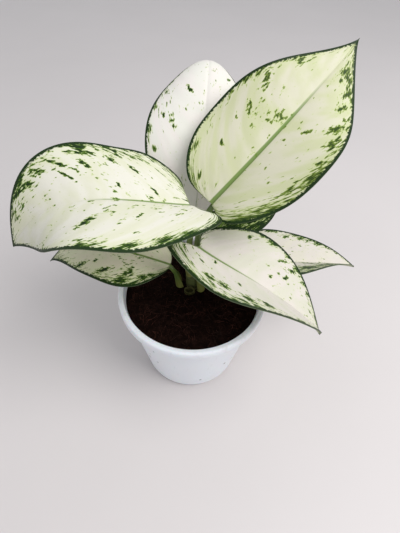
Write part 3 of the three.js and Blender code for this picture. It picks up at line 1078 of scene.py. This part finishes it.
def leaf_look(
    name,
    seed,
    ground,
    tint,
    reach,
    clear,
    rib_width,
    rib_green,
    green=LEAF_GREEN,
    deep=DEEP_GREEN,
):
    """Finish of one blade.

    ground and tint are the pale colours, green and deep those of the marks. reach is how far
    in from the left and right margins the green runs, in mm. clear keeps marks off the middle:
    more is cleaner. rib_width is half the green midrib's width in mm, and rib_green is how far
    along it stays green.
    """
    look = Look(name)
    along = look.attribute("along")
    across = look.attribute("across")
    edge = look.attribute("edge")
    rib = look.attribute("rib")
    vein = look.attribute("vein")
    spot = look.attribute("spot")
    under = look.attribute("under")
    at = look.place()

    def vein_noise(fine, lengthwise, shift):
        """Noise drawn out along the side veins."""
        where = look.vector(vein * fine, across * lengthwise, seed + shift)
        return look.noise(where, 1.0, 2.0, 0.55)

    blotches = vein_noise(17.0, 8.0, 0.0)
    flecks = vein_noise(46.0, 22.0, 3.0)
    clusters = look.noise(at, 32.0, 1.0)
    ragged = look.noise(at, 650.0, 2.0, 0.6)
    wash = vein_noise(9.0, 1.6, 9.0)

    left_reach, right_reach = reach
    side_reach = across.above(-0.05, 0.05) * (right_reach - left_reach) + left_reach
    closeness = (edge / side_reach).below(0.0, 1.0)
    # A mark shows where the summed noise passes its level, which is lower near the margins
    # and in the placed spots.
    marks = 0.5 * blotches + 0.4 * flecks + 0.25 * clusters + 0.06 * ragged
    marks = marks + 0.125 * closeness - (MARK_LEVEL + clear)
    placed = 0.11 * spot + 0.40 * flecks + 0.06 * ragged - SPOT_LEVEL
    marks = marks.maths("MAXIMUM", placed)
    rim = (edge - ragged * 3.8).below(-0.3, 0.5)

    pale = look.mix(wash.above(0.38, 0.62), ground, tint)
    pale = look.mix(closeness * 0.16, pale, LIME)
    colour = look.mix(marks.above(-0.050, -0.008) * 0.8, pale, LIME)
    colour = look.mix(marks.above(-0.016, 0.012), colour, green)
    colour = look.mix(marks.above(0.020, 0.065), colour, deep)
    colour = look.mix(rim, colour, DEEP_GREEN)
    rib_edge = rib_width - along * (rib_width * 0.85)
    rib_mask = (rib - rib_edge).below(-0.4, 0.35)
    rib_mask = rib_mask * along.below(rib_green - 0.25, rib_green + 0.1)
    colour = look.mix(rib_mask * 0.9, colour, RIB_GREEN)
    colour = look.mix(under * 0.45, colour, UNDERSIDE)
    wax = look.noise(at, 1500.0, 2.0)
    return look.finish(
        base_color=colour,
        roughness=0.40 + 0.15 * wash + 0.2 * under,
        specular_ior_level=0.22,
        normal=look.bump(wax + ragged * 0.5, 0.00004),
    )


stalk_look = Look("leaf stalk")
at = stalk_look.place()
up_stalk = stalk_look.attribute("up_stalk")
stalk_tone = stalk_look.noise(at, 60.0, 3.0)
stalk_fleck = stalk_look.noise(at, 330.0, 3.0, 0.6)
stalk_green = stalk_look.mix(stalk_tone, STALK_DARK, STALK_LIGHT)
sheathing = up_stalk.below(0.0, 0.30)
stalk_green = stalk_look.mix(sheathing * 0.85, stalk_green, SHEATH_LIME)
flecked = stalk_fleck.above(0.58, 0.66)
stalk_green = stalk_look.mix(flecked * 0.35, stalk_green, STALK_FLECKS)
stalk_finish = stalk_look.finish(
    base_color=stalk_green, roughness=0.45, normal=stalk_look.bump(stalk_fleck, 0.0002)
)

LEAF_SPOTS = {
    "leaf_upper_left": (
        (0.49, -0.48, 15, 4), (0.50, -0.94, 13, 4), (0.34, -0.92, 16, 4), (0.21, -0.90, 12, 5),
        (0.14, -0.93, 10, 5), (0.28, -0.40, 8, 1.5), (0.53, 0.80, 13, 3), (0.40, 0.68, 10, 3),
        (0.28, 0.55, 11, 2.5), (0.71, 0.75, 9, 3), (0.76, 0.70, 9, 3.5), (0.62, 0.66, 24, 2),
        (0.52, 0.58, 10, 3), (0.60, 0.45, 16, 1.5), (0.18, 0.20, 11, 1.8), (0.36, 0.23, 5, 2),
    ),
    "leaf_upper_right": (
        (0.46, -0.56, 12, 3), (0.26, -0.52, 5, 3), (0.17, -0.88, 9, 3), (0.60, -0.74, 14, 4),
        (0.76, -0.82, 9, 4), (0.08, -0.62, 6, 2), (0.59, 0.73, 11, 5), (0.84, 0.45, 7, 5),
        (0.77, 0.78, 10, 5), (0.69, 0.68, 8, 4), (0.52, 0.38, 6, 3), (0.52, 0.80, 10, 4),
        (0.36, 0.90, 13, 4), (0.28, 0.83, 9, 4), (0.18, 0.93, 12, 5),
    ),
    "leaf_back": (
        (0.53, -0.35, 10, 3), (0.39, -0.72, 5, 2.5), (0.34, -0.50, 4, 3), (0.24, -0.82, 5, 3),
        (0.53, -0.85, 7, 3), (0.32, -0.93, 8, 3.5), (0.64, 0.62, 4, 2.5),
    ),
    "leaf_front_right": (
        (0.50, 0.75, 10, 4), (0.42, 0.78, 9, 4), (0.29, 0.68, 9, 4), (0.22, 0.70, 8, 4),
        (0.36, 0.43, 3.5, 2.5), (0.18, 0.15, 4, 2.5), (0.37, -0.97, 10, 4),
        (0.47, -0.95, 12, 5), (0.57, -0.75, 9, 2.5), (0.65, -0.75, 9, 3), (0.76, -0.90, 7, 3),
        (0.52, -0.27, 4, 2.5), (0.62, -0.47, 6, 3), (0.29, -0.80, 4, 3),
    ),
    "leaf_low_right": (
        (0.48, -0.80, 9, 3), (0.60, -0.86, 10, 4), (0.72, -0.86, 9, 4), (0.56, -0.55, 3, 2),
        (0.34, 0.72, 16, 8), (0.44, 0.74, 18, 9), (0.55, 0.78, 18, 9), (0.66, 0.80, 16, 8),
        (0.52, 0.35, 14, 6), (0.64, 0.38, 14, 6), (0.76, 0.60, 12, 6),
    ),
    "leaf_low_left": (
        (0.65, -0.75, 12, 4), (0.45, -0.72, 14, 4), (0.27, -0.65, 10, 4), (0.15, -0.78, 9, 5),
        (0.10, -0.75, 7, 4), (0.30, -0.85, 12, 6), (0.53, -0.50, 4, 3),
    ),
    "leaf_back_right": (),
}
LEAF_FINISH = {
    "leaf_upper_left": dict(
        seed=1.0, ground=CREAM, tint=(0.665, 0.655, 0.505, 1),
        reach=(10.0, 20.0), clear=0.13, rib_width=1.0, rib_green=0.5,
    ),
    "leaf_upper_right": dict(
        seed=5.0, ground=(0.64, 0.615, 0.47, 1), tint=(0.57, 0.58, 0.36, 1),
        reach=(12.0, 18.0), clear=0.125, rib_width=2.2, rib_green=0.75,
        green=OLIVE, deep=DEEP_OLIVE,
    ),
    "leaf_back": dict(
        seed=9.0, ground=(0.78, 0.73, 0.68, 1), tint=(0.76, 0.74, 0.67, 1),
        reach=(7.0, 5.0), clear=0.15, rib_width=0.5, rib_green=0.1,
    ),
    "leaf_front_right": dict(
        seed=13.0, ground=BLUSH, tint=(0.62, 0.60, 0.50, 1),
        reach=(9.0, 12.0), clear=0.13, rib_width=1.0, rib_green=0.5,
    ),
    "leaf_low_right": dict(
        seed=17.0, ground=BLUSH, tint=(0.66, 0.62, 0.53, 1),
        reach=(9.0, 12.0), clear=0.115, rib_width=0.6, rib_green=0.3,
    ),
    "leaf_low_left": dict(
        seed=21.0, ground=(0.70, 0.65, 0.50, 1), tint=(0.66, 0.66, 0.46, 1),
        reach=(12.0, 9.0), clear=0.115, rib_width=1.3, rib_green=0.5,
    ),
    "leaf_back_right": dict(
        seed=25.0, ground=(0.55, 0.58, 0.40, 1), tint=LIME,
        reach=(30.0, 30.0), clear=0.0, rib_width=1.3, rib_green=0.6,
    ),
}
for name, leaf in LEAVES.items():
    blade_piece = make_blade(name, leaf, LEAF_SPOTS[name])
    stalk_piece = make_stalk(name, leaf)
    dress(blade_piece, leaf_look(f"{name} blade", **LEAF_FINISH[name]))
    dress(stalk_piece, stalk_finish)
    for piece, slot in ((blade_piece, "leaf_blade"), (stalk_piece, "leaf_stalk")):
        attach(piece, "root")
        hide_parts(name)
